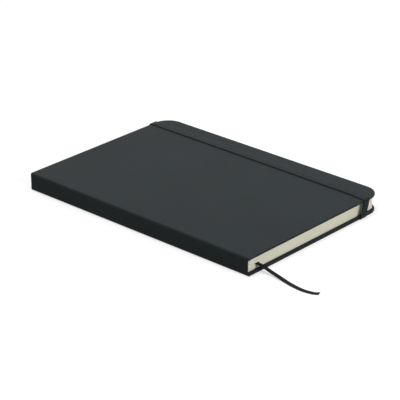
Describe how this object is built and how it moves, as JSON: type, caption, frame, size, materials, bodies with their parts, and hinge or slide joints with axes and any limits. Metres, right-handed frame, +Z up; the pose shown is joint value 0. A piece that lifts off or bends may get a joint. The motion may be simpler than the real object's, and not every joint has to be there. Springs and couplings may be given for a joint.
{
  "type": "hard-cover notebook with elastic closure",
  "caption": "Black leatherette hard-cover notebook with a flat spine, rounded fore-edge corners, an elastic closing strap and a ribbon marker.",
  "frame": {"origin": "on the floor, under the middle of the closed covers", "axes": "+Z up out of the front cover, +Y along the spine from tail to head, +X from the spine to the fore edge"},
  "size_m": [0.146, 0.2616, 0.0142],
  "materials": {
    "leatherette": "matt soft-touch black leatherette with a very fine grain",
    "page_paper": "cream writing paper, cut edges showing as fine lines",
    "endpaper": "plain cream endpaper, matt",
    "greyboard": "grey bookbinding board",
    "spine_paper": "brown crepe lining paper",
    "elastic": "black woven elastic with lengthwise ribs",
    "ribbon": "black satin ribbon"
  },
  "bodies": {
    "pages": {"page_block": "page_paper", "front_flyleaf": "endpaper", "back_flyleaf": "endpaper", "spine_lining": "spine_paper", "spine_card": "greyboard", "spine_covering": "leatherette", "ribbon_marker": "ribbon"},
    "front_cover": {"front_board": "greyboard", "front_covering": "leatherette", "front_pastedown": "endpaper"},
    "back_cover": {"back_board": "greyboard", "back_covering": "leatherette", "back_pastedown": "endpaper", "elastic_strap": "elastic"}
  },
  "joints": [
    {"name": "front_cover_hinge", "type": "hinge", "parent": "pages", "child": "front_cover", "pos_m": [-0.073, 0, 0.01263], "axis": [0, -1, 0], "range_deg": [0, 178], "deforming": ["elastic_strap"]},
    {"name": "back_cover_hinge", "type": "hinge", "parent": "pages", "child": "back_cover", "pos_m": [-0.073, 0, 0.00088], "axis": [0, 1, 0], "range_deg": [0, 178]}
  ]
}
